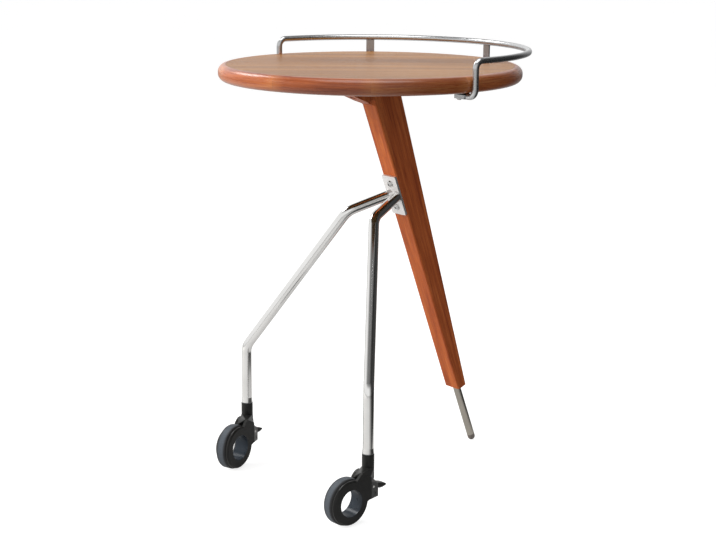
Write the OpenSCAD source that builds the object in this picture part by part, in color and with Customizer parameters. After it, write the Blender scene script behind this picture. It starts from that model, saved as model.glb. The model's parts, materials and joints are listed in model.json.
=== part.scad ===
// Rolling side table: a round wooden top on one raked wooden leg, with two bent tube legs
// on hubless casters and a half-round gallery rail.
// Millimetres, +Z up. The origin is on the floor, under the middle of the whole table.
// The leg and the rail are on the +Y side, the casters on the -Y side.

/* [Tabletop] */
// Diameter of the tabletop over its lipping
top_d = 400; // [340:1:460]
// Height of the upper face above the floor
top_h = 560; // [530:1:600]
// Thickness of the tabletop
top_t = 21; // [18:0.5:26]
// Width of the solid wood lipping round the panel
lip_w = 10.5; // [10:0.5:16]
// Radius of the lipping's rounded edges
lip_round = 9.5; // [4:0.5:12]

/* [Wooden leg] */
// Thickness of the leg from side to side
leg_t = 28.8; // [24:0.2:36]
// How far the leg's front edge, drawn up to the tabletop, lies ahead of the tabletop's middle
leg_front = 14.3; // [8:0.1:20]
// How far the leg's back edge lies behind the tabletop's middle
leg_back = 36.4; // [32:0.1:44]
// Rake of the leg's front edge from upright, in degrees
front_rake = 20.7; // [19:0.1:22]
// Rake of the leg's back edge from upright, in degrees
back_rake = 16.75; // [16:0.05:18]
// Height of the middle of the leg's lower end above the floor
leg_end_h = 90; // [80:1:110]
// Length of the head that reaches forward under the tabletop
head_len = 79; // [60:1:100]
// Depth of the head below the tabletop where it meets the leg
head_drop = 33.5; // [28:0.5:40]
// Chamfer along the leg's edges
leg_chamfer = 1.4; // [0.6:0.1:2.5]
// Diameter of the dowels between the head and the tabletop
dowel_d = 8; // [6:0.5:10]
// Length of the dowels
dowel_l = 28; // [22:1:34]
// Distance between the dowels
dowel_pitch = 22; // [18:1:24]

/* [Foot] */
// Diameter of the steel foot rod
foot_d = 10.8; // [9:0.1:11.5]
// Rake of the foot rod from upright, in degrees
foot_rake = 21; // [19:0.1:22]
// Depth of the foot rod inside the leg
foot_sink = 45; // [30:1:70]
// Length of the rubber tip that shows below the rod
tip_l = 10; // [8:0.5:16]
// Diameter of the tip's spigot inside the rod
spigot_d = 5; // [4:0.5:6]
// Length of the tip's spigot
spigot_l = 9; // [6:0.5:14]

/* [Bracket and tubes] */
// Width of the bracket plate
plate_w = 28; // [24:0.5:28.5]
// Length of the bracket plate
plate_l = 58; // [54:1:70]
// Thickness of the bracket plate
plate_t = 3; // [2:0.5:5]
// Corner radius of the bracket plate
plate_corner = 2; // [1:0.5:4]
// Height of the plate's middle above the floor
plate_h = 381; // [350:1:400]
// Distance between the two bracket screws
plate_pitch = 35; // [34:0.5:42]
// Outer diameter of the tubes
tube_d = 14; // [12:0.5:15]
// Wall thickness of the tubes
tube_wall = 1.5; // [1:0.25:2]
// Distance between the tubes where they leave the plate
tube_gap = 15.2; // [15.2:0.1:18]
// How far each tube spreads sideways before its first bend
tube_spread = 21.3; // [16:0.1:28]
// How far each tube reaches forward before its first bend
tube_reach = 57.2; // [50:0.1:70]
// How far each tube dips before its first bend
tube_dip = 20.2; // [14:0.1:30]
// Height of the lower bend above the floor
bend_h = 163; // [145:1:190]
// Radius of the tube's bends, at its middle
bend_r = 26; // [22:1:32]
// Height of the weld bead along the tube
weld_h = 3; // [1.5:0.5:4]
// Width of the weld bead on the plate
weld_w = 2.4; // [1.5:0.1:3]

/* [Gallery rail] */
// Diameter of the rail's rod
rod_d = 8; // [6:0.5:10]
// Free space between the tabletop's edge and the rod
rail_gap = 0.4; // [0.4:0.1:8]
// How far the middle of the half-round lies behind the tabletop's middle
rail_back = 4; // [0:0.5:8]
// Height of the rod's middle above the tabletop
rail_rise = 19; // [15:0.5:40]
// Radius of the rod's bends, at its middle
rod_bend = 10; // [8:0.5:14]
// Thickness of the rubber pad between the hook and the tabletop
pad_t = 2.5; // [1.5:0.5:8]
// Depth of the flat on the hook's upper side, under the tabletop
hook_flat = 2.3; // [1:0.1:2.5]
// How far the hook reaches in under the tabletop
hook_in = 35.5; // [34:0.5:60]
// Length of the hook's flattened end
tab_l = 21; // [16:1:26]
// Width of the hook's flattened end
tab_w = 11; // [9:0.5:14]
// Thickness of the hook's flattened end
tab_t = 5; // [3:0.2:6]
// Width of the flat straps
strap_w = 11.5; // [9:0.5:16]
// Thickness of the flat straps
strap_t = 2; // [1.5:0.25:3]
// How far a strap's foot reaches in under the tabletop
strap_in = 36; // [32:1:60]
// Position round the rail of the rear strap, in degrees from the +X side
rear_strap_at = 90; // [80:1:100]
// Position round the rail of the side strap, in degrees from the +X side
side_strap_at = 142; // [125:1:155]

/* [Screws] */
// Shank diameter of the wood screws
screw_d = 4; // [3:0.5:5]
// Head diameter of the wood screws
screw_head_d = 8; // [7:0.5:9]
// Head height of the wood screws
screw_head_h = 2.6; // [2:0.2:3.4]
// How far the wood screws go into the tabletop
screw_bite = 13; // [8:0.5:14]
// Shank diameter of the bracket screws
bolt_d = 4.6; // [4:0.2:6]
// Head diameter of the bracket screws
bolt_head_d = 10; // [8:0.5:11]
// Head height of the bracket screws
bolt_head_h = 3.4; // [2:0.2:4]
// How far the bracket screws go into the leg
bolt_bite = 24; // [14:1:30]
// Width across the flats of the hexagon sockets
socket_w = 3; // [2:0.5:3.5]

/* [Casters] */
// Distance between the two swivel axes
track = 272; // [220:1:300]
// How far the swivel axes lie ahead of the tabletop's middle
caster_front = 108; // [90:1:120]
// Heading of the left caster: turn of its axle from straight across, in degrees
heading_left = 20; // [0:1:60]
// Heading of the right caster, in degrees
heading_right = 3; // [0:1:60]
// Diameter of the wheel over its tyre
wheel_d = 61; // [58:0.5:64]
// Width of the tyre
tyre_w = 16; // [12:0.2:16]
// Thickness of the tyre's rubber
tyre_t = 5.5; // [4.5:0.25:5.5]
// Radius of the tyre's rounded shoulders
tyre_round = 3.5; // [1:0.25:4.5]
// Distance from the swivel axis forward to the wheel's middle
trail = 45.5; // [44.5:0.5:50]
// How far the wheel's middle plane lies beside the swivel axis
wheel_side = 8.2; // [7:0.2:10]
// Diameter of the open eye through the wheel
eye_d = 35; // [34:0.5:39.5]
// Wall thickness of the fixed hub tube that the rim runs on
hub_wall = 2; // [1.6:0.1:2.2]
// Diameter of the near cheek's ring
near_ring_d = 58; // [50:0.5:59]
// Diameter of the far cheek's ring
far_ring_d = 50; // [48:0.5:54]
// How much wider the eye's radius grows through the far cheek
eye_flare = 3.5; // [1:0.5:4]
// Chamfer round the rings' outer faces
ring_chamfer = 2; // [1:0.2:3]
// Thickness of each cheek
cheek_t = 4; // [3:0.1:5]
// Free space between the tyre and each cheek
side_gap = 0.5; // [0.4:0.1:1]
// Free space between the tyre and the hood
hood_gap = 0.8; // [0.5:0.1:1.5]
// Diameter of the neck that turns on the stem
neck_d = 16; // [15:0.5:17.5]
// Height of the neck's upper end above the floor
neck_h = 81; // [78:0.1:86]
// Diameter of the steel swivel pin
pin_d = 8; // [6:0.5:9]
// Length of the swivel pin inside the neck
pin_l = 16; // [12:1:17]
// Height of the stem's cone-shaped collar
collar_h = 6.5; // [5:0.5:10]
// Length of the stem's spigot inside the tube
stem_l = 25; // [15:1:35]
// Thickness of the swivel washer
washer_t = 0.8; // [0.5:0.1:1.5]
// Travel of the brake lever, in degrees
brake_turn = 12; // [8:1:12]
// Width of the brake lever
lever_w = 9.4; // [8:0.2:9.6]
// Length of the pedal behind the lever's pin
pedal_l = 30; // [24:1:34]
// Diameter of the brake lever's pin
lever_pin_d = 3; // [2.5:0.25:3.5]
// Thickness of the brake pad
brake_pad_t = 1.8; // [1.2:0.1:2.4]

/* [Clearances] */
// Gap round glued, screwed and plugged pieces
glue_gap = 0.3; // [0.15:0.05:0.5]
// Radial clearance of pins and of the rim on its hub
run_gap = 0.06; // [0.03:0.01:0.1]
// Free space between pieces that turn past each other
turn_gap = 0.35; // [0.3:0.05:0.6]

/* [Hidden] */
$fn = 64;
top_r = top_d/2;
panel_r = top_r - lip_w;
under_h = top_h - top_t;
lip_in_r = panel_r + glue_gap;
lip_edge_r = min(lip_round, top_t/2 - 0.5, lip_w - glue_gap - 0.4);
seam_step = 0.08;
seam_half = 0.25;
seam_swell = 0.02;
rod_r = rod_d/2;
rail_r = top_r + rail_gap + rod_r;
rail_h = top_h + rail_rise;
// The whole reaches from the tabletop's front edge to the back of the rail, so its middle is here
top_y = -(rail_back + rail_r + rod_r - top_r)/2;

// Leg
kink_h = under_h - head_drop;
head_tip_y = front_y(kink_h) - head_len;
rod_back = 0.5;
leg_end_y = (front_y(leg_end_h) + back_y(leg_end_h))/2 + rod_back;
head_screw_places = [0.38, 0.66];
head_seat = 0.2*head_drop;
foot_r = foot_d/2;
foot_l = (leg_end_h - foot_r)/cos(foot_rake);
rod_end = foot_l - (tip_l - foot_r);

// Tubes
collar_low = neck_h + washer_t + turn_gap;
tube_end_h = collar_low + collar_h;
tube_r = tube_d/2;
bore_r = tube_r - tube_wall;
caster_x = track/2;
tube_out = [tube_gap/2, front_y(plate_h) - plate_t*cos(front_rake),
            plate_h - plate_t*sin(front_rake)];
bend_1 = tube_out + [tube_spread, -tube_reach, -tube_dip];
bend_2 = [caster_x, -caster_front, bend_h];
tube_low = [caster_x, -caster_front, tube_end_h];

// Rail
rail_corner_r = norm([rail_r, rod_bend]);
rail_end_turn = atan(rod_bend/rail_r) - asin(rail_back/rail_corner_r);
ring_skip = asin(seam_step/rail_r);
hook_x = sqrt(rail_corner_r*rail_corner_r - rail_back*rail_back);
tab_end_x = hook_x - hook_in;
hook_screw_x = tab_end_x + tab_w/2 + 1;
tab_top = under_h - pad_t;
hook_h = tab_top + hook_flat - rod_r;
tab_low = tab_top - tab_t;
strap_screw_r = rail_r - strap_in + strap_w/2 + 1;

// Caster, in its own frame: +X is forward to the wheel, +Y along the axle, origin under the swivel
wheel_r = wheel_d/2;
hub_r = eye_d/2 + hub_wall;
rim_r = hub_r + run_gap;
rim_out_r = wheel_r - tyre_t;
near_ring_r = min(near_ring_d/2, wheel_r - 1);
far_ring_r = far_ring_d/2;
flare_r = min(eye_d/2 + eye_flare, far_ring_r - ring_chamfer - 0.5);
near_in = wheel_side + tyre_w/2 + side_gap;
near_out = near_in + cheek_t;
far_in = wheel_side - tyre_w/2 - side_gap;
far_out = far_in - cheek_t;
wheel_space_r = wheel_r + hood_gap;
neck_r = neck_d/2;
pin_r = pin_d/2;
washer_h = neck_h;
pin_low = neck_h - pin_l;
neck_floor = 2.4;
neck_foot = pin_low - neck_floor;
roof = 48.3;
web_back = 12;
heel_back = -6.2;
heel_low = 26.8;
heel_top = 43.8;
heel_out = 14;
pivot = [7, 43.3];
boss_r = 3.9;
pedal_root = -8;
cover_back = -3;
heel_roof_t = 2.5;
heel_trim = 1.5;
lever_floor = 36.6;
nose_room = 4.2;
// Side views, forward and up: near cheek's web, the shoulder's and the heel's root on that cheek
near_line = [[web_back, 29.8], [22, 25.5], [39.5, 54.6], [28, 66.2], [web_back, 58]];
shoulder_line = [[web_back, 48], [28, 66.2], [web_back + 2, 58]];
heel_root_line = [[web_back, 29.8], [web_back + 3, 28.4], [web_back + 3, 52], [web_back, 52]];
// Side views, forward and up: the far cheek's lower edge, and the hood from its front to the neck
far_low_line = [[cover_back, 52], [cover_back, 32], [web_back, 29.8], [26, 24.5], [32.5, 45]];
hood_line = [[24.9, 54.6], [23.7, 56.8], [20, 60.6], [16.7, 62.5], [12.4, 63.1], [9.6, 61.8],
             [6.9, 59.3]];
// Pedal's outline: share of its length behind its root, height above the floor
pedal_line = [[0, 42.9], [0.22, 42.2], [0.64, 40.6], [0.96, 38.6], [1, 37.4], [0.92, 36.2],
              [0.57, 34.8], [0.2, 34.8], [0, 36.4]];
lever_mid = far_in + 0.6 + lever_w/2;
pad_w = lever_w - 1.2;
pedal_step = 2;
pad_in_r = wheel_r + 0.5;
pad_low = 4;
pad_high = 14;
low_post = [4.8, 33.8];
high_post = [15.5, 57];
post_r = 2.6;
cover_screw_r = 1;
cover_head_r = 2.1;
cover_head_h = 1.1;

// Place of the leg's front edge at a height
function front_y(h) = -leg_front + (under_h - h)*tan(front_rake);
// Place of the leg's back edge at a height
function back_y(h) = leg_back + (under_h - h)*tan(back_rake);
// Where the leg's cut end meets an edge line of the given rake
function end_step(edge_y, rake) =
    (edge_y - leg_end_y)/(cos(foot_rake) + tan(rake)*sin(foot_rake));
function end_point(step) = [leg_end_y + step*cos(foot_rake), leg_end_h + step*sin(foot_rake)];
function unit(v) = v/norm(v);
function mirror_x(p) = [-p[0], p[1], p[2]];
// Underside of the leg's head at a share of its length from the tip
function head_y(share) = head_tip_y + share*head_len;

// Puts what is drawn round the tabletop's middle in its place
module placed() {
    translate([0, top_y, 0]) children();
}

// Puts children on the leg's front face at a height, +Z out of the face and +Y up along it
module on_leg_front(h) {
    translate([0, front_y(h), h]) rotate([90 + front_rake, 0, 0]) children();
}

// Puts children at the leg's lower end, +Z up along the foot rod
module on_foot_axis() {
    translate([0, leg_end_y, leg_end_h]) rotate([foot_rake, 0, 0]) children();
}

// Round bar from point p to point q
module bar(p, q, r) {
    d = q - p;
    translate(p)
        rotate([0, acos(d[2]/norm(d)), atan2(d[1], d[0])])
            cylinder(h = norm(d), r = r);
}

// Round of a bend of radius bend in a bar that runs from a by b to c, just short of its seams
module elbow(a, b, c, bend, r) {
    along = unit(b - a);
    next = unit(c - b);
    turn = acos(along*next);
    skip = asin(seam_step/bend);
    inward = unit(next - (next*along)*along);
    centre = b - along*bend*tan(turn/2) + inward*bend;
    side = cross(-inward, along);
    multmatrix([[-inward[0], along[0], side[0], centre[0]],
                [-inward[1], along[1], side[1], centre[1]],
                [-inward[2], along[2], side[2], centre[2]],
                [0, 0, 0, 1]])
        rotate([0, 0, skip])
            rotate_extrude(angle = turn - 2*skip) translate([bend, 0]) circle(r = r);
}

// Length of straight bar that a bend at b takes off each side
function bend_cut(a, b, c, bend) = bend*tan(acos(unit(b - a)*unit(c - b))/2);
// Point on the way from p to q
function toward(p, q, dist) = p + unit(q - p)*dist;

// Short collar at a seam between a straight stretch and a bend of a round bar
module seam_at(p, along, r) {
    bar(p - unit(along)*seam_half, p + unit(along)*seam_half, r + seam_swell);
}

// Straight stretch of a round bar that stops just short of its seams
module stretch(p, q, r) {
    bar(toward(p, q, seam_step), toward(q, p, seam_step), r);
}

// Bend of radius bend at b in a round bar from a to c, with a seam at both its ends
module bend_at(a, b, c, bend, r) {
    cut = bend_cut(a, b, c, bend);
    elbow(a, b, c, bend, r);
    seam_at(toward(b, a, cut), b - a, r);
    seam_at(toward(b, c, cut), c - b, r);
}

// Round bar along four points, with a bend at each of the two middle ones
module bent_bar(a, b, c, d, bend, r) {
    cut_b = bend_cut(a, b, c, bend);
    cut_c = bend_cut(b, c, d, bend);
    bend_at(a, b, c, bend, r);
    bend_at(b, c, d, bend, r);
    stretch(a, toward(b, a, cut_b), r);
    stretch(toward(b, c, cut_b), toward(c, b, cut_c), r);
    stretch(toward(c, d, cut_c), toward(d, c, -seam_step), r);
}

// Screw with its head's seat at z = 0, the shank up along +Z and a domed head below
module round_screw(shank_d, shank_l, head_d, head_h) {
    dome_r = (head_d*head_d/4 + head_h*head_h)/(2*head_h);
    difference() {
        rotate_extrude() {
            square([shank_d/2, shank_l - shank_d/2]);
            polygon([[0, shank_l - shank_d/2 - 0.1], [shank_d/2, shank_l - shank_d/2 - 0.1],
                     [shank_d/2, shank_l - shank_d/2], [0.5, shank_l], [0, shank_l]]);
            intersection() {
                translate([0, dome_r - head_h]) circle(r = dome_r);
                translate([0, -head_h]) square([head_d/2, head_h]);
            }
        }
        translate([0, 0, -head_h - 1])
            cylinder(d = socket_w/cos(30), h = head_h*0.6 + 1, $fn = 6);
    }
}

module wood_screw(seat_h) {
    translate([0, 0, seat_h])
        round_screw(screw_d, under_h - seat_h + screw_bite, screw_head_d, screw_head_h);
}

// Pilot hole in the tabletop for one wood screw
module pilot() {
    translate([0, 0, under_h - 1])
        cylinder(d = screw_d + 2*glue_gap, h = screw_bite + 1.5);
}

module at_head_screws() {
    for (share = head_screw_places)
        translate([0, head_y(share), 0]) children();
}

module at_dowels() {
    for (step = [-0.5, 0.5])
        translate([0, (leg_back - leg_front)/2 + step*dowel_pitch, 0]) children();
}

module at_hooks() {
    for (turn = [0, 180])
        rotate([0, 0, turn]) children();
}

// Puts what is drawn round the middle of the half-round rail in its place on the tabletop
module on_rail() {
    translate([0, rail_back, 0]) children();
}

module at_straps() {
    for (turn = [rear_strap_at, side_strap_at])
        on_rail() rotate([0, 0, turn]) children();
}

// Panel of the tabletop, with blind holes for the dowels and the wood screws
module tabletop_panel() {
    color([0.62, 0.47, 0.36])
    placed() difference() {
        translate([0, 0, under_h]) cylinder(r = panel_r, h = top_t, $fn = 180);
        at_dowels()
            translate([0, 0, under_h - 1])
                cylinder(d = dowel_d + 2*glue_gap, h = dowel_l/2 - 2 + glue_gap + 1);
        at_head_screws() pilot();
        at_hooks() translate([hook_screw_x, 0, 0]) pilot();
        at_straps() translate([strap_screw_r, 0, 0]) pilot();
    }
}

// Section of the lipping, its inner face on the panel
module lipping_section() {
    round_in_r = top_r - lip_edge_r;
    translate([lip_in_r, under_h]) square([round_in_r - lip_in_r, top_t]);
    translate([lip_in_r, under_h + lip_edge_r]) square([top_r - lip_in_r, top_t - 2*lip_edge_r]);
    intersection() {
        translate([lip_in_r, under_h]) square([lip_w, top_t]);
        for (h = [under_h + lip_edge_r, top_h - lip_edge_r])
            translate([round_in_r, h]) circle(r = lip_edge_r);
    }
}

module tabletop_lipping() {
    color([0.45, 0.22, 0.13])
    placed() rotate_extrude($fn = 180) lipping_section();
}

// Side view of the leg, X of the drawing to the back and Y up
module leg_side() {
    polygon([[head_tip_y, under_h],
             [front_y(kink_h), kink_h],
             end_point(end_step(front_y(leg_end_h), front_rake)),
             end_point(end_step(back_y(leg_end_h), back_rake)),
             [back_y(under_h), under_h]]);
}

// Takes the corners off both side edges between two points of the side view; the leg's body
// lies on the +Y side of the line from p up to q, or on its -Y side where back is true
module edge_chamfer(p, q, back) {
    run = q - p;
    for (side = [-1, 1])
        translate([side*leg_t/2, p[0], p[1]])
            rotate([atan2(-run[0], run[1]), 0, 0])
                rotate([0, 0, side*(back ? -1 : 1)*45 + (back ? 180 : 0)])
                    translate([-leg_t/4, -leg_t/2 + leg_chamfer/sqrt(2), -10])
                        cube([leg_t/2, leg_t/2, norm(run) + 20]);
}

// Leg with its forward head, bored for the foot rod, the dowels and the screws
module leg() {
    low_front = end_point(end_step(front_y(leg_end_h), front_rake));
    low_back = end_point(end_step(back_y(leg_end_h), back_rake));
    color([0.42, 0.2, 0.12])
    placed() difference() {
        rotate([90, 0, 90]) linear_extrude(height = leg_t, center = true) leg_side();
        edge_chamfer(low_front, [front_y(kink_h), kink_h], false);
        edge_chamfer(low_back, [back_y(under_h), under_h], true);
        on_foot_axis()
            translate([0, 0, -20]) cylinder(d = foot_d + 2*glue_gap, h = foot_sink + glue_gap + 20);
        at_dowels()
            translate([0, 0, under_h - dowel_l/2 - 2 - glue_gap])
                cylinder(d = dowel_d + 2*glue_gap, h = dowel_l);
        at_head_screws() {
            translate([0, 0, kink_h - 10])
                cylinder(d = screw_head_d + 1, h = under_h - head_seat - kink_h + 10);
            translate([0, 0, kink_h]) cylinder(d = screw_d + 2*glue_gap, h = head_drop + 1);
        }
        for (step = [-0.5, 0.5])
            on_leg_front(plate_h) translate([0, step*plate_pitch, -bolt_bite - glue_gap])
                cylinder(d = bolt_d + 2*glue_gap, h = bolt_bite + 5);
    }
}

module leg_dowels() {
    color([0.8, 0.66, 0.45])
    placed() at_dowels()
        translate([0, 0, under_h - dowel_l/2 - 2]) cylinder(d = dowel_d, h = dowel_l);
}

// Screws that pull the head up against the tabletop, their heads sunk in the slope
module head_screws() {
    color([0.7, 0.7, 0.68])
    placed() at_head_screws() wood_screw(under_h - head_seat);
}

module foot_rod() {
    color([0.66, 0.64, 0.6])
    placed() on_foot_axis() difference() {
        translate([0, 0, -rod_end]) cylinder(d = foot_d, h = rod_end + foot_sink);
        translate([0, 0, -rod_end - 1])
            cylinder(d = spigot_d + 2*glue_gap, h = spigot_l + glue_gap + 1);
    }
}

// Rubber tip with a round end that stands on the floor
module foot_tip() {
    color([0.35, 0.32, 0.32])
    placed() on_foot_axis() {
        translate([0, 0, -foot_l]) sphere(r = foot_r);
        translate([0, 0, -foot_l]) cylinder(r = foot_r, h = tip_l - foot_r);
        translate([0, 0, -rod_end]) cylinder(d = spigot_d, h = spigot_l);
    }
}

// Flat plate on the leg's front face
module bracket_plate() {
    w = plate_w/2 - plate_corner;
    l = plate_l/2 - plate_corner;
    color([0.8, 0.8, 0.78])
    placed() on_leg_front(plate_h) difference() {
        linear_extrude(height = plate_t) {
            square([plate_w, 2*l], center = true);
            square([2*w, plate_l], center = true);
            for (x = [-w, w], y = [-l, l])
                translate([x, y]) circle(r = plate_corner);
        }
        for (step = [-0.5, 0.5])
            translate([0, step*plate_pitch, -1]) cylinder(d = bolt_d + 2*glue_gap, h = plate_t + 2);
    }
}

module bracket_screws() {
    color([0.85, 0.85, 0.85])
    placed() on_leg_front(plate_h)
        for (step = [-0.5, 0.5])
            translate([0, step*plate_pitch, plate_t]) rotate([180, 0, 0])
                round_screw(bolt_d, bolt_bite + plate_t, bolt_head_d, bolt_head_h);
}

// Everything behind the plate's outer face
module behind_plate() {
    on_leg_front(plate_h) translate([-plate_l, -plate_l, plate_t - plate_l])
        cube([2*plate_l, 2*plate_l, plate_l]);
}

// Right tube, from the bracket plate down to the caster's stem
module right_tube() {
    start = tube_out - unit(bend_1 - tube_out)*10;
    difference() {
        bent_bar(start, bend_1, bend_2, tube_low, bend_r, tube_r);
        bent_bar(start, bend_1, bend_2, tube_low - [0, 0, 1], bend_r, bore_r);
        behind_plate();
    }
}

module tube_right() {
    color([0.82, 0.82, 0.8]) placed() right_tube();
}

module tube_left() {
    color([0.82, 0.82, 0.8]) placed() mirror([1, 0, 0]) right_tube();
}

// Weld beads that join the tubes to the plate
module weld_beads() {
    along = unit(bend_1 - tube_out);
    color([0.72, 0.72, 0.7])
    placed() difference() {
        intersection() {
            for (side = [0, 1])
                mirror([side, 0, 0])
                    translate(tube_out - along*4)
                        rotate([0, acos(along[2]), atan2(along[1], along[0])])
                            cylinder(r1 = tube_r + weld_w, r2 = tube_r + 0.5, h = 4 + weld_h);
            on_leg_front(plate_h) translate([0, 0, plate_t])
                linear_extrude(height = 20) square([plate_w, plate_l], center = true);
        }
        for (side = [0, 1])
            mirror([side, 0, 0])
                bar(tube_out - along*10, tube_out + along*30, tube_r + 0.05);
    }
}

// What the hook leaves free for the pad and the tabletop's rounded edge, in side view
module room_for_top() {
    round_in_r = top_r - lip_edge_r;
    translate([tab_end_x, tab_top])
        square([round_in_r - tab_end_x, pad_t + lip_edge_r]);
    translate([round_in_r, under_h + lip_edge_r]) circle(r = lip_edge_r + turn_gap);
}

// One end of the rail: a bend down from the ring, the upright and the hook under the tabletop
module rail_end() {
    ring_end = [rail_r*cos(rail_end_turn), rail_back + rail_r*sin(rail_end_turn), rail_h];
    corner = [hook_x, 0, rail_h];
    low_corner = [hook_x, 0, hook_h];
    hook_end = [tab_end_x + tab_l - rod_r, 0, hook_h];
    bend_at(ring_end, corner, low_corner, rod_bend, rod_r);
    stretch(corner - [0, 0, rod_bend], low_corner + [0, 0, rod_bend], rod_r);
    difference() {
        union() {
            bend_at(corner, low_corner, hook_end, rod_bend, rod_r);
            bar(low_corner - [rod_bend + seam_step, 0, 0], hook_end, rod_r);
        }
        side_slab(-tab_w, tab_w) room_for_top();
    }
    difference() {
        translate([0, 0, tab_low]) linear_extrude(height = tab_t) {
            translate([tab_end_x + tab_w/2, 0]) circle(d = tab_w);
            translate([tab_end_x + tab_w/2, -tab_w/2]) square([tab_l - tab_w/2, tab_w]);
        }
        translate([hook_screw_x, 0, tab_low - 1]) cylinder(d = screw_d + 2*glue_gap, h = tab_t + 2);
    }
}

// Half-round rail above the tabletop's back edge, hooked under the top at both ends
module gallery_rail() {
    color([0.78, 0.78, 0.76])
    placed() {
        on_rail() rotate([0, 0, rail_end_turn + ring_skip]) translate([0, 0, rail_h])
            rotate_extrude(angle = 180 - 2*rail_end_turn - 2*ring_skip, $fn = 180)
                translate([rail_r, 0]) circle(d = rod_d, $fn = 48);
        for (side = [0, 1])
            mirror([side, 0, 0]) rail_end();
    }
}

// Flat strap from the rail down and in under the tabletop, drawn at the +X side
module strap() {
    bend = 1.5*strap_t;
    corner_h = under_h - strap_t/2 + bend;
    difference() {
        translate([0, strap_w/2, 0]) rotate([90, 0, 0]) linear_extrude(height = strap_w) {
            translate([rail_r - strap_t/2, corner_h])
                square([strap_t, rail_h - corner_h]);
            translate([rail_r - bend, corner_h]) strap_corner(bend);
            translate([rail_r - strap_in, under_h - strap_t])
                square([strap_in - bend, strap_t]);
        }
        translate([0, 0, rail_h])
            rotate_extrude($fn = 180) translate([rail_r, 0]) circle(d = rod_d + 0.2, $fn = 48);
        translate([strap_screw_r, 0, under_h - strap_t - 1])
            cylinder(d = screw_d + 2*glue_gap, h = strap_t + 2);
    }
}

// Quarter bend of the strap, in side view
module strap_corner(bend) {
    intersection() {
        difference() {
            circle(r = bend + strap_t/2);
            circle(r = bend - strap_t/2);
        }
        translate([0, -bend - strap_t]) square(bend + strap_t);
    }
}

module rear_strap() {
    color([0.7, 0.7, 0.68]) placed() on_rail() rotate([0, 0, rear_strap_at]) strap();
}

module side_strap() {
    color([0.7, 0.7, 0.68]) placed() on_rail() rotate([0, 0, side_strap_at]) strap();
}

// Rubber pads between the hooks and the tabletop
module hook_pads() {
    color([0.08, 0.08, 0.08])
    placed() at_hooks() difference() {
        translate([tab_end_x + 1, -tab_w/2 + 1, tab_top]) cube([tab_l - 2, tab_w - 2, pad_t]);
        translate([hook_screw_x, 0, tab_top - 1]) cylinder(d = screw_d + 2*glue_gap, h = pad_t + 2);
    }
}

// Screws that hold the two hooks and the two straps
module rail_screws() {
    color([0.75, 0.75, 0.73])
    placed() {
        at_hooks() translate([hook_screw_x, 0, 0]) wood_screw(tab_low);
        at_straps() translate([strap_screw_r, 0, 0]) wood_screw(under_h - strap_t);
    }
}

// Puts a caster's piece, drawn in the caster's own frame, under its tube
module at_caster(side, heading) {
    placed() translate([side*caster_x, -caster_front, 0]) rotate([0, 0, heading - 90]) children();
}

module at_left() {
    at_caster(-1, heading_left) children();
}

module at_right() {
    at_caster(1, heading_right) children();
}

// Extrudes a side view, drawn with X forward and Y up, between two places along the axle
module side_slab(from, to) {
    translate([0, to, 0]) rotate([90, 0, 0]) linear_extrude(height = to - from) children();
}

module at_wheel() {
    translate([trail, wheel_r]) children();
}

// Ring of a cheek round the eye, from y = from out to one side, chamfered on its outer face
module cheek_ring(r, from, outward) {
    translate([trail, from, wheel_r]) rotate([-90*outward, 0, 0])
        rotate_extrude($fn = 96)
            polygon([[eye_d/2, 0], [r, 0], [r, cheek_t - ring_chamfer],
                     [r - ring_chamfer, cheek_t], [eye_d/2, cheek_t]]);
}

// Steel stem: spigot in the tube, cone-shaped collar and the swivel pin below it
module caster_stem() {
    color([0.85, 0.85, 0.85]) {
        translate([0, 0, tube_end_h]) cylinder(r = bore_r - glue_gap, h = stem_l);
        translate([0, 0, collar_low]) cylinder(r1 = neck_r - 0.2, r2 = tube_r + 0.1, h = collar_h);
        translate([0, 0, pin_low + 0.4]) cylinder(r = pin_r, h = collar_low - pin_low - 0.4);
    }
}

module swivel_washer() {
    color([0.5, 0.5, 0.5])
    translate([0, 0, washer_h]) difference() {
        cylinder(r = neck_r - 0.6, h = washer_t);
        translate([0, 0, -1]) cylinder(r = pin_r + 0.25, h = washer_t + 2);
    }
}

// Far cheek's web in side view
module far_web() {
    polygon(concat(far_low_line, hood_line));
}

// Shoulder and hood between the neck and the near cheek
module shoulder() {
    hull() {
        translate([0, 0, neck_foot]) cylinder(r = neck_r, h = 1, $fn = 32);
        side_slab(near_in, near_out) polygon(shoulder_line);
        side_slab(far_in, far_in + 1)
            polygon(concat([[cover_back, roof]], hood_line));
    }
}

// Sloped wall from the near cheek back to the heel
module heel() {
    hull() {
        side_slab(near_in, near_out) polygon(heel_root_line);
        side_slab(heel_out - cheek_t, heel_out)
            translate([heel_back, heel_low]) square([1, heel_top - heel_low]);
        side_slab(heel_out - cheek_t - 1, heel_out - cheek_t)
            translate([0, roof - 0.5]) square([web_back, heel_roof_t]);
    }
}

// Room for the lever and its nose inside the body, in side view
module lever_room() {
    translate([-trail, lever_floor]) square([2*trail, roof - lever_floor]);
    translate([low_post[0] + nose_room, 0]) square([trail, roof]);
}

// Posts that the cover screws bite into
module post(place) {
    side_slab(far_in, near_in + 1) translate(place) circle(r = post_r);
}

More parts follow.
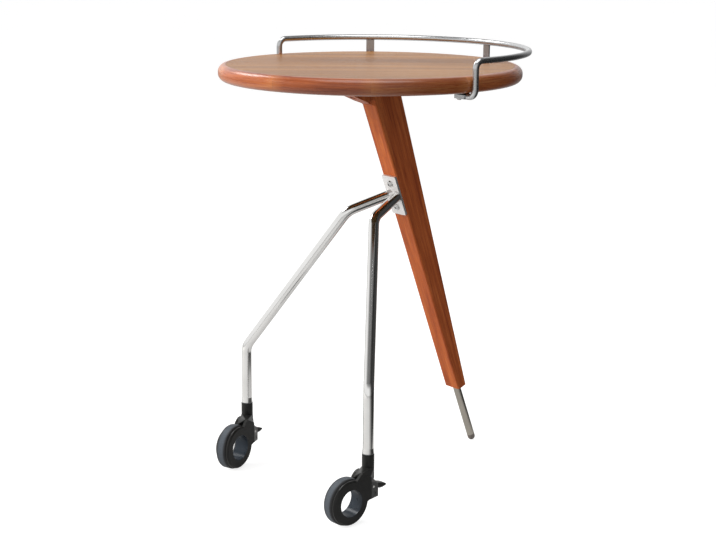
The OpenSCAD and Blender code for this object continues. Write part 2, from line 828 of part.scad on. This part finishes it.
// Moulded body: neck, hood, near cheek and the hub tube that the rim runs on
module caster_body() {
    color([0.06, 0.06, 0.06])
    difference() {
        union() {
            translate([0, 0, neck_foot]) cylinder(r = neck_r, h = neck_h - neck_foot);
            intersection() {
                translate([0, 0, roof]) cylinder(r = neck_r, h = neck_foot - roof + 1);
                side_slab(far_in, near_in) translate([-neck_r, roof]) square([neck_d, neck_h]);
            }
            difference() {
                shoulder();
                side_slab(far_in - neck_d, far_in) offset(delta = glue_gap) far_web();
            }
            difference() {
                union() {
                    side_slab(near_in, near_out) polygon(near_line);
                    heel();
                }
                side_slab(0, near_in)
                    translate([heel_back - 1, 0]) square([heel_trim + 1, roof - 0.2]);
            }
            cheek_ring(near_ring_r, near_in, 1);
            post(low_post);
        }
        side_slab(far_in - neck_d, heel_out - cheek_t) lever_room();
        side_slab(far_in - 0.01, near_in) at_wheel() circle(r = wheel_space_r, $fn = 96);
        side_slab(far_out - 1, near_out + 1) at_wheel() circle(d = eye_d);
        side_slab(far_out - 1, near_out + 1) translate(pivot) circle(r = lever_pin_d/2 + run_gap);
        translate([0, 0, pin_low]) cylinder(r = pin_r + run_gap, h = neck_h);
        for (place = [low_post, high_post])
            side_slab(far_in - 1, far_in + 8)
                translate(place) circle(r = cover_screw_r + glue_gap);
    }
    color([0.06, 0.06, 0.06])
    side_slab(far_in, near_out) at_wheel() difference() {
        circle(r = hub_r);
        circle(d = eye_d);
    }
}

// Far cheek, screwed on after the wheel is in
module caster_cover() {
    color([0.07, 0.07, 0.07])
    difference() {
        union() {
            side_slab(far_out, far_in) far_web();
            cheek_ring(far_ring_r, far_in, -1);
        }
        side_slab(far_out - 1, far_in + 1) at_wheel() circle(d = eye_d);
        translate([trail, far_in, wheel_r]) rotate([90, 0, 0])
            cylinder(r1 = eye_d/2, r2 = flare_r, h = cheek_t);
        side_slab(far_out - 1, far_in + 1) translate(pivot) circle(r = lever_pin_d/2 + run_gap);
        for (place = [low_post, high_post]) {
            side_slab(far_out - 1, far_in + 1)
                translate(place) circle(r = cover_screw_r + glue_gap);
            side_slab(far_out - 1, far_out + cover_head_h + 0.1)
                translate(place) circle(r = cover_head_r + 0.2);
        }
    }
}

module cover_screws() {
    seat = far_out + cover_head_h + 0.1;
    color([0.25, 0.25, 0.26])
    for (place = [low_post, high_post])
        translate([place[0], seat, place[1]]) rotate([-90, 0, 0])
            round_screw(2*cover_screw_r, far_in - seat + 7, 2*cover_head_r, cover_head_h);
}

// Plastic rim that runs on the hub tube
module wheel_rim() {
    color([0.05, 0.05, 0.05])
    side_slab(wheel_side - tyre_w/2, wheel_side + tyre_w/2) at_wheel() difference() {
        circle(r = rim_out_r - glue_gap, $fn = 96);
        circle(r = rim_r);
    }
}

// Rubber tyre with rounded shoulders
module tyre() {
    r = min(tyre_round, tyre_t - 1, tyre_w/2 - 0.5);
    color([0.45, 0.5, 0.52])
    translate([trail, wheel_side, wheel_r]) rotate([90, 0, 0]) rotate_extrude($fn = 96) {
        translate([rim_out_r, -tyre_w/2]) square([tyre_t - r, tyre_w]);
        translate([rim_out_r, -tyre_w/2 + r]) square([tyre_t, tyre_w - 2*r]);
        intersection() {
            translate([rim_out_r, -tyre_w/2]) square([tyre_t, tyre_w]);
            for (side = [-1, 1])
                translate([wheel_r - r, side*(tyre_w/2 - r)]) circle(r = r);
        }
    }
}

// Turns a side view about the lever's pin, backwards for a positive angle
module turned(angle) {
    translate(pivot) rotate(-angle) translate(-pivot) children();
}

// Part of a ring round the wheel's middle, between two heights above it in degrees
module arc_piece(inner, outer, low, high) {
    intersection() {
        at_wheel() difference() {
            circle(r = outer, $fn = 96);
            circle(r = inner, $fn = 96);
        }
        at_wheel() polygon([[0, 0], 50*[-cos(high), sin(high)], 50*[-cos(low), sin(low)]]);
    }
}

// Extrudes a side view over a width about the lever's middle
module lever_slab(w) {
    side_slab(lever_mid - w/2, lever_mid + w/2) children();
}

// Pedal lever with a nose that carries the brake pad; drawn with the brake off
module brake_lever() {
    nose_r = pad_in_r + brake_pad_t;
    leaf_l = pedal_l - pivot[0] + pedal_root;
    color([0.05, 0.05, 0.05])
    difference() {
        union() {
            lever_slab(lever_w) translate(pivot) circle(r = boss_r);
            lever_slab(lever_w - pedal_step)
                polygon([[pivot[0] - 2, 39.7], [pivot[0], pivot[1] + boss_r], [pedal_root, 43.4],
                         [pedal_root - 3, 42], [pedal_root - 3, 34.8], [pedal_root, 37.2]]);
            lever_slab(lever_w) polygon([for (p = pedal_line) [pedal_root - p[0]*leaf_l, p[1]]]);
            lever_slab(pad_w) turned(brake_turn) difference() {
                polygon([pivot + [-2, -3.2], [trail - nose_r*cos(pad_low), wheel_r + nose_r*sin(pad_low)],
                         [trail - nose_r*cos(pad_high), wheel_r + nose_r*sin(pad_high)],
                         pivot + [2, 3.2]]);
                at_wheel() circle(r = nose_r, $fn = 96);
            }
        }
        lever_slab(lever_w + 2) translate(pivot) circle(r = lever_pin_d/2 + run_gap);
    }
}

// Rubber pad on the lever's nose
module brake_pad() {
    color([0.15, 0.15, 0.15])
    lever_slab(pad_w) turned(brake_turn)
        arc_piece(pad_in_r, pad_in_r + brake_pad_t, pad_low + 0.4, pad_high - 0.4);
}

// Pin through both cheeks and the lever, with a small head on the far side
module lever_pin() {
    color([0.75, 0.75, 0.75]) {
        side_slab(far_out - 0.1, near_out - 1.6) translate(pivot) circle(d = lever_pin_d);
        translate([pivot[0], far_out, pivot[1]]) rotate([90, 0, 0])
            cylinder(r1 = lever_pin_d/2 + 0.9, r2 = lever_pin_d/2 + 0.3, h = 0.8);
    }
}

module caster_stem_left() { at_left() caster_stem(); }
module caster_stem_right() { at_right() caster_stem(); }
module swivel_washer_left() { at_left() swivel_washer(); }
module swivel_washer_right() { at_right() swivel_washer(); }
module caster_body_left() { at_left() caster_body(); }
module caster_body_right() { at_right() caster_body(); }
module caster_cover_left() { at_left() caster_cover(); }
module caster_cover_right() { at_right() caster_cover(); }
module cover_screws_left() { at_left() cover_screws(); }
module cover_screws_right() { at_right() cover_screws(); }
module wheel_rim_left() { at_left() wheel_rim(); }
module wheel_rim_right() { at_right() wheel_rim(); }
module tyre_left() { at_left() tyre(); }
module tyre_right() { at_right() tyre(); }
module brake_lever_left() { at_left() brake_lever(); }
module brake_lever_right() { at_right() brake_lever(); }
module brake_pad_left() { at_left() brake_pad(); }
module brake_pad_right() { at_right() brake_pad(); }
module lever_pin_left() { at_left() lever_pin(); }
module lever_pin_right() { at_right() lever_pin(); }

tabletop_panel();
tabletop_lipping();
leg();
leg_dowels();
head_screws();
foot_rod();
foot_tip();
bracket_plate();
bracket_screws();
weld_beads();
tube_left();
tube_right();
gallery_rail();
rear_strap();
side_strap();
hook_pads();
rail_screws();
caster_stem_left();
caster_stem_right();
swivel_washer_left();
swivel_washer_right();
caster_body_left();
caster_body_right();
caster_cover_left();
caster_cover_right();
cover_screws_left();
cover_screws_right();
wheel_rim_left();
wheel_rim_right();
tyre_left();
tyre_right();
brake_lever_left();
brake_lever_right();
brake_pad_left();
brake_pad_right();
lever_pin_left();
lever_pin_right();
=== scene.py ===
"""Rolling side table: looks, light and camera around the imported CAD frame."""
import json
import math

import bpy
from mathutils import Matrix, Vector

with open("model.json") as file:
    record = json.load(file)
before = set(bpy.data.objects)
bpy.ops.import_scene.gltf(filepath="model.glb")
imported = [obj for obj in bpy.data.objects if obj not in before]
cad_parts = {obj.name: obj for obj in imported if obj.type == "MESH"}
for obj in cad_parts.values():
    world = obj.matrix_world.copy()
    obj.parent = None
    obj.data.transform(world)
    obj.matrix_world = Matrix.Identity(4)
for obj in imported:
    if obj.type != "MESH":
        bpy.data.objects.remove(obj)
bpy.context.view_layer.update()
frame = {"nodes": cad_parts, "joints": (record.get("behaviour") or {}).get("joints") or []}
nodes = frame["nodes"]
joints = {j["name"]: j for j in frame["joints"]}

# Camera, as measured from the photograph (angles in degrees, metres, pixels). CAMERA_ANGLE is
# the level direction that it looks from, counted from +X
AZIMUTH = 51.464
ELEVATION = 12.823
ROLL = 0.384
CAMERA_AT = Vector((1.62076, -1.31446, 0.75503))
PHOTO_WIDTH = 716
FOCAL_PIXELS = 1575.98
PIXEL_SHIFT = 0.5
CAMERA_ANGLE = AZIMUTH - 90


def make_camera():
    """The photograph's camera; its picture plane is turned by ROLL about the view direction."""
    az, el, roll = (math.radians(a) for a in (AZIMUTH, ELEVATION, ROLL))
    back = Vector((math.sin(az)*math.cos(el), -math.cos(az)*math.cos(el), math.sin(el)))
    right = Vector((math.cos(az), math.sin(az), 0))
    up = back.cross(right)
    turned_right = right*math.cos(roll) + up*math.sin(roll)
    turned_up = up*math.cos(roll) - right*math.sin(roll)
    data = bpy.data.cameras.new("camera")
    data.sensor_width = 36
    data.lens = data.sensor_width*FOCAL_PIXELS/PHOTO_WIDTH
    data.shift_x = -PIXEL_SHIFT/PHOTO_WIDTH
    data.shift_y = PIXEL_SHIFT/PHOTO_WIDTH
    data.clip_end = 50
    camera = bpy.data.objects.new("camera", data)
    camera.matrix_world = Matrix.Translation(CAMERA_AT) @ Matrix(
        (turned_right, turned_up, back)).transposed().to_4x4()
    bpy.context.collection.objects.link(camera)
    bpy.context.scene.camera = camera


class Surface:
    """A material whose nodes are added one by one, around one Principled shader."""

    def __init__(self, name, **settings):
        self.material = bpy.data.materials.new(name)
        self.material.use_nodes = True
        self.tree = self.material.node_tree
        self.shader = self.tree.nodes["Principled BSDF"]
        self.place = self.node("ShaderNodeTexCoord").outputs["Object"]
        for key, value in settings.items():
            self.shader.inputs[key.replace("_", " ")].default_value = value

    def node(self, kind, inputs=None, **settings):
        made = self.tree.nodes.new(kind)
        for key, value in settings.items():
            setattr(made, key, value)
        for key, value in (inputs or {}).items():
            self.put(made.inputs[key], value)
        return made

    def put(self, socket, value):
        if isinstance(value, bpy.types.NodeSocket):
            self.tree.links.new(value, socket)
        else:
            socket.default_value = value

    def mapped(self, scale=(1, 1, 1), turn=(0, 0, 0), shift=(0, 0, 0)):
        """The object's own coordinates, turned and then stretched."""
        turned = self.node("ShaderNodeMapping", {"Vector": self.place, "Rotation": turn,
                                                 "Location": shift})
        return self.node("ShaderNodeMapping", {"Vector": turned.outputs[0],
                                               "Scale": scale}).outputs[0]

    def noise(self, vector, scale=1.0, detail=3.0, rough=0.5, distortion=0.0):
        return self.node("ShaderNodeTexNoise", {
            "Vector": vector, "Scale": scale, "Detail": detail, "Roughness": rough,
            "Distortion": distortion}).outputs["Fac"]

    def ranged(self, value, low, high, out_low=0.0, out_high=1.0):
        return self.node("ShaderNodeMapRange", {
            "Value": value, "From Min": low, "From Max": high, "To Min": out_low,
            "To Max": out_high}).outputs["Result"]

    def math(self, operation, a, b=0.0):
        return self.node("ShaderNodeMath", {0: a, 1: b}, operation=operation).outputs[0]

    def mix(self, share, a, b, blend="MIX"):
        made = self.node("ShaderNodeMix", data_type="RGBA", blend_type=blend)
        for index, value in ((0, share), (6, a), (7, b)):
            self.put(made.inputs[index], value)
        return made.outputs[2]

    def ramp(self, value, stops):
        made = self.node("ShaderNodeValToRGB", {"Fac": value})
        elements = made.color_ramp.elements
        while len(elements) < len(stops):
            elements.new(0.5)
        for element, (place, colour) in zip(elements, stops):
            element.position = place
            element.color = (*colour, 1)
        return made.outputs["Color"]

    def bump(self, height, distance, strength=1.0):
        made = self.node("ShaderNodeBump", {"Height": height, "Distance": distance,
                                            "Strength": strength})
        self.put(self.shader.inputs["Normal"], made.outputs[0])

    def colour(self, value):
        self.put(self.shader.inputs["Base Color"], value)

    def rough(self, value):
        self.put(self.shader.inputs["Roughness"], value)


def grain(s, place, stops, ring_step, gloss, relief=0.5):
    """Growth bands, long fibres and short pores; place runs along the grain in X, in metres."""
    def stretched(scale):
        return s.node("ShaderNodeMapping", {"Vector": place, "Scale": scale}).outputs[0]

    band_share, fibre_share, sway_share = 0.5, 0.32, 0.18
    relief_depth = 0.0001
    sway = s.noise(stretched((4, 9, 9)), detail=2)
    bands = s.noise(stretched((0.045/ring_step, 1/ring_step, 0.6/ring_step)), scale=0.5,
                    detail=3, rough=0.55, distortion=0.35)
    fibres = s.noise(stretched((26, 850, 850)), detail=4, rough=0.62)
    pores = s.ranged(s.noise(stretched((110, 2400, 2400)), detail=2), 0.57, 0.66)
    tone = s.math("ADD", s.math("MULTIPLY", bands, band_share),
                  s.math("ADD", s.math("MULTIPLY", fibres, fibre_share),
                         s.math("MULTIPLY", sway, sway_share)))
    body = s.ramp(s.ranged(tone, 0.38, 0.62), stops)
    dark = s.mix(1.0, body, (0.55, 0.48, 0.44, 1), blend="MULTIPLY")
    s.rough(s.ranged(fibres, 0.3, 0.7, gloss - 0.04, gloss + 0.07))
    s.bump(s.math("SUBTRACT", s.math("MULTIPLY", fibres, 0.35), pores), relief_depth, relief)
    return s.mix(s.math("MULTIPLY", pores, 0.5), body, dark)


def wood(name, turn, stops, ring_step, gloss=0.38, shift=(0, 0, 0), shine=0.3,
         backed=None):
    """Oiled hardwood whose grain lies along the X axis of the turned coordinates; what lies
    below the height backed is its dark backing veneer."""
    s = Surface(name, Specular_IOR_Level=shine)
    body = grain(s, s.mapped(turn=turn, shift=shift), stops, ring_step, gloss)
    if backed is not None:
        height = s.node("ShaderNodeSeparateXYZ", {0: s.place}).outputs["Z"]
        dark = s.mix(1.0, body, BACKING_TINT, blend="MULTIPLY")
        body = s.mix(s.math("LESS_THAN", height, backed), body, dark)
    s.colour(body)
    return s.material


def lipping_wood(name, stops, joint_at, count, radius, gloss):
    """Wood that follows a ring of staves: each has its own tone and is lighter at its joints;
    one joint lies at the angle joint_at, in degrees, and the ring's radius is in metres."""
    ring_step, relief, stave_shift = 0.009, 0.06, 7.0
    glow_reach, line_reach = 0.13, 0.0022
    s = Surface(name, Coat_Weight=0.3, Coat_Roughness=0.3, Specular_IOR_Level=0.45)
    step = 2*math.pi/count
    turned = s.mapped(turn=(0, 0, math.pi - math.radians(joint_at)))
    axes = s.node("ShaderNodeSeparateXYZ", {0: turned}).outputs
    angle = s.math("ARCTAN2", axes[1], axes[0])
    stave = s.math("DIVIDE", s.math("ADD", angle, math.pi), step)
    index = s.math("FLOOR", stave)
    within = s.math("SUBTRACT", stave, index)
    distance = s.node("ShaderNodeVectorMath", {0: s.node("ShaderNodeCombineXYZ", {
        "X": axes[0], "Y": axes[1]}).outputs[0]}, operation="LENGTH").outputs["Value"]
    random = s.node("ShaderNodeTexWhiteNoise", {"W": index}, noise_dimensions="1D")
    along = s.math("ADD", s.math("MULTIPLY", angle, radius),
                   s.math("MULTIPLY", random.outputs["Value"], stave_shift))
    place = s.node("ShaderNodeCombineXYZ", {"X": along, "Y": distance, "Z": axes[2]}).outputs[0]
    body = grain(s, place, stops, ring_step, gloss, relief)
    tone = s.ranged(random.outputs["Value"], 0, 1, 0.84, 1.12)
    toned = s.mix(1.0, body, s.node("ShaderNodeCombineColor", {
        "Red": tone, "Green": tone, "Blue": tone}).outputs[0], blend="MULTIPLY")
    from_joint = s.math("MINIMUM", within, s.math("SUBTRACT", 1.0, within))
    glow = s.ranged(from_joint, 0.0, glow_reach, 0.4, 0.0)
    line = s.ranged(from_joint, 0.0, line_reach, 0.5, 0.0)
    lighter = s.mix(glow, toned, (*stops[-1][1], 1))
    s.colour(s.mix(line, lighter, JOINT_LINE))
    return s.material


def metal(name, colour, rough, scratch_scale=(900, 900, 60), spread=0.05, depth=0.00001,
          metallic=1.0):
    """Bare or plated metal with fine lines from its polishing and cloudy handling marks."""
    s = Surface(name, Metallic=metallic)
    lines = s.noise(s.mapped(scratch_scale), detail=3, rough=0.6)
    cloud = s.noise(s.mapped(), scale=38, detail=4)
    share = s.math("ADD", s.math("MULTIPLY", lines, 0.5), s.math("MULTIPLY", cloud, 0.5))
    s.rough(s.ranged(share, 0.35, 0.65, max(rough - spread, 0.02), rough + spread))
    s.colour(s.mix(s.ranged(cloud, 0.35, 0.7), (*colour, 1),
                   (*(c*0.93 for c in colour), 1)))
    s.bump(lines, depth, 0.4)
    return s.material


def off_wheel(s, joint):
    """The way from a wheel's middle to the shaded point, and its part along the axle."""
    from_hub = s.node("ShaderNodeVectorMath", {0: s.place, 1: Vector(joint["pos_m"])},
                      operation="SUBTRACT").outputs[0]
    side = s.node("ShaderNodeVectorMath", {0: from_hub, 1: Vector(joint["axis"])},
                  operation="DOT_PRODUCT").outputs["Value"]
    return from_hub, side


def plastic(name, colour, rough, shine=0.3, bore=None):
    """Moulded plastic: fine spark-eroded grain, cloudy gloss and a little dust; bore is a wheel's
    joint, inside whose eye the plastic is polished and tinted bluish as a painted reflection."""
    s = Surface(name, Specular_IOR_Level=shine)
    grain_depth, bore_polish = 0.00006, 0.08
    fine = s.noise(s.mapped(), scale=2200, detail=2)
    cloud = s.noise(s.mapped(), scale=60, detail=4)
    body = s.mix(s.ranged(cloud, 0.35, 0.75), (*colour, 1),
                 (*(c*1.5 + 0.004 for c in colour), 1))
    gloss = s.ranged(cloud, 0.3, 0.7, rough - 0.06, rough + 0.08)
    if bore is not None:
        from_hub, side = off_wheel(s, bore)
        reach = s.node("ShaderNodeVectorMath", {0: from_hub}, operation="LENGTH").outputs["Value"]
        radius = s.math("SQRT", s.math("SUBTRACT", s.math("MULTIPLY", reach, reach),
                                       s.math("MULTIPLY", side, side)))
        inside = s.math("LESS_THAN", radius, EYE_RADIUS)
        # painted bluish reflection on the inside of the eye
        body = s.mix(inside, body, BORE_REFLECTION_TINT)
        gloss = s.math("SUBTRACT", gloss, s.math("MULTIPLY", inside, bore_polish))
    s.colour(body)
    s.rough(gloss)
    s.bump(fine, grain_depth, 0.35)
    return s.material


def tyre_rubber(name, joint, tread, wall, half_tread):
    """Grey tread between black sidewalls, told apart by the distance from the wheel's middle."""
    s = Surface(name, Specular_IOR_Level=0.4)
    blur, wander, relief_depth = 0.0018, 0.0012, 0.00008
    off = s.math("ABSOLUTE", off_wheel(s, joint)[1])
    dust = s.noise(s.mapped(), scale=420, detail=5, rough=0.7)
    edge = s.math("ADD", off, s.math("MULTIPLY", s.math("SUBTRACT", dust, 0.5), wander))
    share = s.ranged(edge, half_tread - blur, half_tread + blur)
    worn = s.mix(s.ranged(dust, 0.3, 0.75), (*tread, 1), (*(c*0.78 for c in tread), 1))
    black = s.mix(s.ranged(dust, 0.3, 0.75), (*wall, 1), (*(c*1.6 for c in wall), 1))
    s.colour(s.mix(share, worn, black))
    s.rough(s.ranged(dust, 0.3, 0.7, 0.5, 0.68))
    s.bump(dust, relief_depth, 0.5)
    return s.material


def make_floor():
    """Wide pale floor, a little below the wheels, that the camera sees almost white."""
    bpy.ops.mesh.primitive_plane_add(size=FLOOR_SIZE, location=(0, 0, -FLOOR_BELOW))
    floor = bpy.context.object
    floor.name = "floor"
    s = Surface("floor_white", Roughness=0.9, Specular_IOR_Level=0.1)
    cloud = s.noise(s.mapped(), scale=2.0, detail=2)
    s.colour(s.mix(cloud, (0.38, 0.38, 0.38, 1), (0.42, 0.42, 0.42, 1)))
    path = s.node("ShaderNodeLightPath").outputs
    mirrored = s.math("MAXIMUM", path["Is Glossy Ray"], path["Is Transmission Ray"])
    lift = s.math("MAXIMUM", s.math("MULTIPLY", path["Is Camera Ray"], FLOOR_LIFT),
                  s.math("MULTIPLY", mirrored, MIRRORED_LIFT))
    s.put(s.shader.inputs["Emission Color"], WHITE)
    s.put(s.shader.inputs["Emission Strength"], lift)
    floor.data.materials.append(s.material)


def make_world():
    """White where the camera looks, and dim overhead where only polished surfaces see it."""
    world = bpy.data.worlds.new("world")
    bpy.context.scene.world = world
    world.use_nodes = True
    tree = world.node_tree
    shader = tree.nodes["Background"]

    def node(kind, **settings):
        made = tree.nodes.new(kind)
        for key, value in settings.items():
            setattr(made, key, value)
        return made

    def math_node(operation, a, b):
        made = node("ShaderNodeMath", operation=operation)
        for socket, value in zip(made.inputs, (a, b)):
            if isinstance(value, bpy.types.NodeSocket):
                tree.links.new(value, socket)
            else:
                socket.default_value = value
        return made.outputs[0]

    path = node("ShaderNodeLightPath").outputs
    direction = node("ShaderNodeTexCoord").outputs["Generated"]
    height = node("ShaderNodeSeparateXYZ")
    tree.links.new(direction, height.inputs[0])
    dim = node("ShaderNodeMapRange", interpolation_type="SMOOTHSTEP")
    tree.links.new(height.outputs["Z"], dim.inputs["Value"])
    for key, value in (("From Min", SKY_EDGE[0]), ("From Max", SKY_EDGE[1]), ("To Min", 1.0),
                       ("To Max", SKY_LEVEL)):
        dim.inputs[key].default_value = value
    glossy = math_node("MULTIPLY", math_node("MAXIMUM", path["Is Glossy Ray"],
                                             path["Is Transmission Ray"]),
                       dim.outputs["Result"])
    seen = math_node("MAXIMUM", path["Is Camera Ray"], glossy)
    rest = math_node("MULTIPLY", path["Is Diffuse Ray"], AMBIENT)
    shader.inputs["Color"].default_value = WHITE
    tree.links.new(math_node("MAXIMUM", seen, rest), shader.inputs["Strength"])


def make_flag(name, middle_angle, half_angle, soft_angle, near, far, high, darkness):
    """Black card on the floor and up a wall that only polished surfaces see; angles in degrees."""
    steps, fade_in = 48, 0.12
    profile = ((near, 0.0), (far, 0.0), (far, high))
    rows = len(profile)
    points, faces = [], []
    for step in range(steps + 1):
        angle = math.radians(middle_angle - half_angle + 2*half_angle*step/steps)
        points += [(radius*math.cos(angle), radius*math.sin(angle), z) for radius, z in profile]
        if step:
            first = rows*(step - 1)
            faces += [(first + k, first + rows + k, first + rows + k + 1, first + k + 1)
                      for k in range(rows - 1)]
    mesh = bpy.data.meshes.new(name)
    mesh.from_pydata(points, [], faces)
    card = bpy.data.objects.new(name, mesh)
    bpy.context.collection.objects.link(card)
    s = Surface(name, Roughness=1.0, Specular_IOR_Level=0.0)
    s.colour(BLACK)
    flat = s.node("ShaderNodeVectorMath", {0: s.place, 1: (1, 1, 0)}, operation="MULTIPLY")
    outward = s.node("ShaderNodeVectorMath", {0: flat.outputs[0]}, operation="NORMALIZE")
    middle = math.radians(middle_angle)
    along = s.node("ShaderNodeVectorMath", {
        0: outward.outputs[0], 1: (math.cos(middle), math.sin(middle), 0)},
        operation="DOT_PRODUCT").outputs["Value"]
    distance = s.node("ShaderNodeVectorMath", {0: flat.outputs[0]},
                      operation="LENGTH").outputs["Value"]
    sideways = s.ranged(along, math.cos(math.radians(half_angle)),
                        math.cos(math.radians(half_angle - soft_angle)), 0.0, darkness)
    inward = s.ranged(distance, near, near + fade_in, 0.0, 1.0)
    s.put(s.shader.inputs["Alpha"], s.math("MULTIPLY", sideways, inward))
    mesh.materials.append(s.material)
    for kind in ("camera", "diffuse", "shadow", "transmission", "volume_scatter"):
        setattr(card, f"visible_{kind}", False)


def make_lamp(name, place, target, size, watts, colour=(1, 1, 1), mirrored=True):
    """Round soft lamp; one that is not mirrored leaves no highlight on polished surfaces."""
    data = bpy.data.lights.new(name, "AREA")
    data.shape = "DISK"
    data.size = size
    data.energy = watts
    data.color = colour
    lamp = bpy.data.objects.new(name, data)
    lamp.location = place
    lamp.rotation_euler = (Vector(target) - Vector(place)).to_track_quat("-Z", "Y").to_euler()
    lamp.visible_glossy = mirrored
    bpy.context.collection.objects.link(lamp)


# Light: AMBIENT is what the world gives to matt surfaces, the two lifts are what the floor adds
# for the camera and for reflections, and the reflected sky dims to SKY_LEVEL between the two
# heights of SKY_EDGE
WHITE = (1, 1, 1, 1)
BLACK = (0, 0, 0, 1)
FLOOR_SIZE = 30
FLOOR_BELOW = 0.0005
AMBIENT = 0.46
FLOOR_LIFT = 0.8
MIRRORED_LIFT = 0.25
SKY_EDGE = (0.45, 0.8)
SKY_LEVEL = 0.2
TABLE_MIDDLE = (0.0, 0.0, 0.35)
TABLE_UPPER = (0.0, 0.0, 0.5)

make_camera()
make_world()
make_floor()
make_lamp("key", (-1.1, -2.05, 1.2), TABLE_MIDDLE, size=1.5, watts=74,
          colour=(1.0, 0.98, 0.945), mirrored=False)
make_lamp("side", (-1.75, -0.45, 1.95), TABLE_UPPER, size=0.8, watts=15)
make_lamp("top", (0.2, -0.3, 2.4), TABLE_MIDDLE, size=1.6, watts=22)
make_flag("flag_right", middle_angle=CAMERA_ANGLE + 84, half_angle=78, soft_angle=44,
          near=0.22, far=0.9, high=1.3, darkness=0.95)

# Materials of the CAD nodes, with linear colours and metres. The stops of a wood run from its
# darkest grain to its lightest
TOP_STOPS = ((0.0, (0.145, 0.055, 0.011)), (0.35, (0.228, 0.09, 0.017)),
             (0.7, (0.3, 0.125, 0.024)), (1.0, (0.385, 0.175, 0.039)))
LEG_STOPS = ((0.0, (0.275, 0.046, 0.01)), (0.35, (0.4, 0.083, 0.017)),
             (0.7, (0.485, 0.113, 0.025)), (1.0, (0.57, 0.15, 0.038)))
LIPPING_STOPS = ((0.0, (0.15, 0.028, 0.006)), (0.4, (0.26, 0.057, 0.011)),
                 (0.7, (0.345, 0.089, 0.018)), (1.0, (0.45, 0.16, 0.043)))
# Glue line between two staves, and the panel's backing veneer up to its height
JOINT_LINE = (0.03, 0.012, 0.006, 1)
BACKING_TINT = (0.3, 0.4, 0.6, 1)
BACKING_TOP = 0.541
# Casters: EYE_RADIUS bounds the polished inside of a wheel's open eye, which carries a painted
# bluish reflection, HALF_TREAD the grey of the tyre
CASTER_BLACK = (0.011, 0.011, 0.0105)
CASTER_ROUGH = 0.36
CASTER_SHINE = 0.2
# Colour of the painted bluish reflection inside a wheel's eye
BORE_REFLECTION_TINT = (0.022, 0.029, 0.039, 1)
EYE_RADIUS = 0.0178
TREAD_GREY = (0.068, 0.079, 0.094)
WALL_BLACK = (0.012, 0.012, 0.013)
HALF_TREAD = 0.0044
# Depth of the fine lines on the tubes and the rail
FINE_POLISH = 0.000002
# Turns that bring the grain to the X axis: the veneer's runs across the picture, the leg's down
# its raked length
LEG_RAKE = math.radians(18.7)
TOP_GRAIN = math.radians(-AZIMUTH)
QUARTER = math.pi/2

chrome = metal("chrome", (0.82, 0.815, 0.8), 0.13, spread=0.035, depth=FINE_POLISH)
rail_steel = metal("rail_steel", (0.56, 0.565, 0.57), 0.28, (700, 700, 700), depth=FINE_POLISH)
rod_steel = metal("rod_steel", (0.5, 0.465, 0.405), 0.36, (1500, 1500, 90))
plate_steel = metal("plate_steel", (0.8, 0.785, 0.78), 0.32, (160, 1800, 1800), metallic=0.72)
strap_steel = metal("strap_steel", (0.4, 0.4, 0.4), 0.3, (500, 500, 1500))
screw_steel = metal("screw_steel", (0.6, 0.59, 0.58), 0.2, (600, 600, 600))
dark_steel = metal("dark_steel", (0.3, 0.3, 0.31), 0.3, (600, 600, 600))
black = plastic("caster_plastic", CASTER_BLACK, CASTER_ROUGH, CASTER_SHINE)
rim = plastic("rim_plastic", (0.03, 0.036, 0.045), 0.24, shine=0.7)
tip = plastic("tip_rubber", (0.19, 0.165, 0.15), 0.6)
pad = plastic("pad_rubber", (0.02, 0.02, 0.02), 0.7)

materials = {
    "tabletop_panel": wood("top_veneer", (0, 0, TOP_GRAIN), TOP_STOPS, 0.016, 0.3, shine=0.09,
                           backed=BACKING_TOP),
    "tabletop_lipping": lipping_wood("lipping_wood", LIPPING_STOPS, joint_at=176, count=10,
                                     radius=0.19, gloss=0.28),
    "leg": wood("leg_wood", (-LEG_RAKE, QUARTER, 0), LEG_STOPS, 0.0028, 0.42, (0.4, 0.1, 0.3),
                shine=0.2),
    "leg_dowels": wood("dowel_wood", (0, QUARTER, 0), LIPPING_STOPS, 0.006),
    "foot_rod": rod_steel, "foot_tip": tip, "bracket_plate": plate_steel,
    "weld_beads": plate_steel, "gallery_rail": rail_steel, "rear_strap": strap_steel,
    "side_strap": strap_steel, "hook_pads": pad, "head_screws": screw_steel,
    "bracket_screws": screw_steel, "rail_screws": screw_steel,
}
for side in ("left", "right"):
    wheel = joints[f"wheel_spin_{side}"]
    materials |= {
        f"tube_{side}": chrome, f"caster_stem_{side}": chrome, f"swivel_washer_{side}": dark_steel,
        f"caster_body_{side}": plastic(f"body_plastic_{side}", CASTER_BLACK, CASTER_ROUGH,
                                       CASTER_SHINE, bore=wheel),
        f"caster_cover_{side}": black, f"cover_screws_{side}": dark_steel,
        f"wheel_rim_{side}": rim,
        f"tyre_{side}": tyre_rubber(f"tyre_rubber_{side}", wheel, TREAD_GREY, WALL_BLACK,
                                    HALF_TREAD),
        f"brake_lever_{side}": black, f"brake_pad_{side}": pad,
        f"lever_pin_{side}": screw_steel,
    }
for name, material in materials.items():
    slots = nodes[name].data.materials
    if len(slots):
        for index in range(len(slots)):
            slots[index] = material
    else:
        slots.append(material)

view = bpy.context.scene.view_settings
view.view_transform = "Standard"
